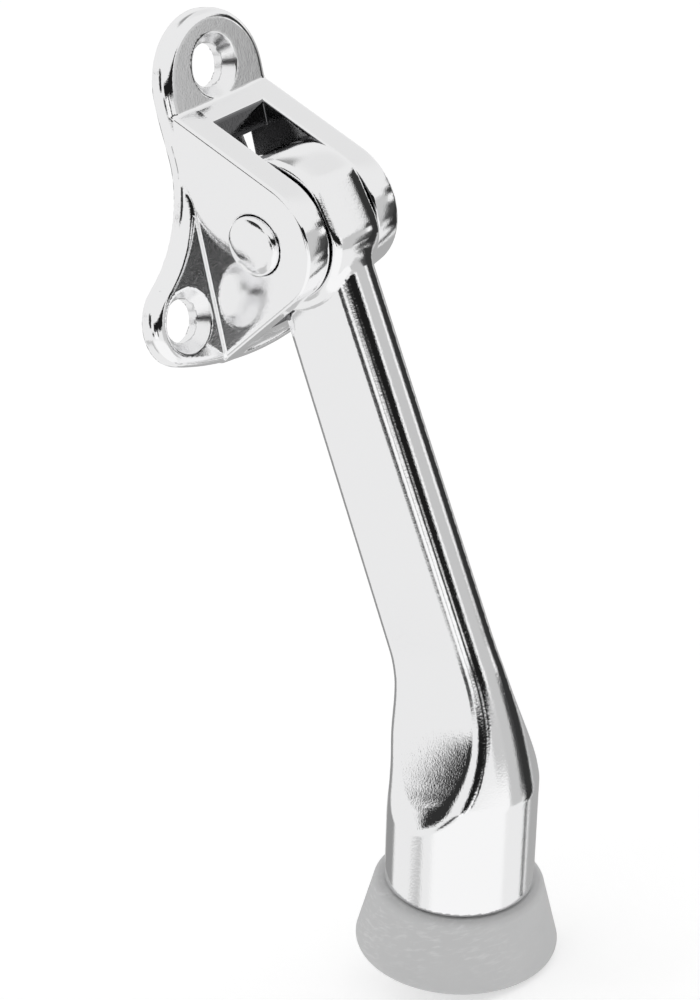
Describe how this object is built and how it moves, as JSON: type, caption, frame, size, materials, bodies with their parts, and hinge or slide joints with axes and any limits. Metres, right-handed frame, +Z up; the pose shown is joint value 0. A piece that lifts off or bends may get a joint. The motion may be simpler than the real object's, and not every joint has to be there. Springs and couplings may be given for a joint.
{
  "type": "floor door holder",
  "caption": "Kick-down door holder: a chrome lever with a grey rubber tip, hinged in a bracket that screws to the foot of a door.",
  "frame": {"origin": "centreline of the bracket's mounting face, between the top screw hole and the spring's recess", "axes": "+Y into the door, +Z up, X along the hinge"},
  "size_m": [0.0408, 0.0312, 0.1348],
  "materials": {
    "chrome": "polished chrome plate on a casting, with slight orange peel",
    "spring_steel": "plain rolled spring strip",
    "rubber": "matte grey moulded rubber with faint scuffs"
  },
  "bodies": {
    "bracket": {"bracket": "chrome", "pivot_pin": "chrome", "detent_spring": "spring_steel"},
    "lever": {"lever": "chrome", "rubber_tip": "rubber"}
  },
  "joints": [
    {"name": "lever_hinge", "type": "hinge", "parent": "bracket", "child": "lever", "pos_m": [0, -0.01215, -0.0165], "axis": [-1, 0, 0], "range_deg": [0, 161], "deforming": ["detent_spring"]}
  ]
}
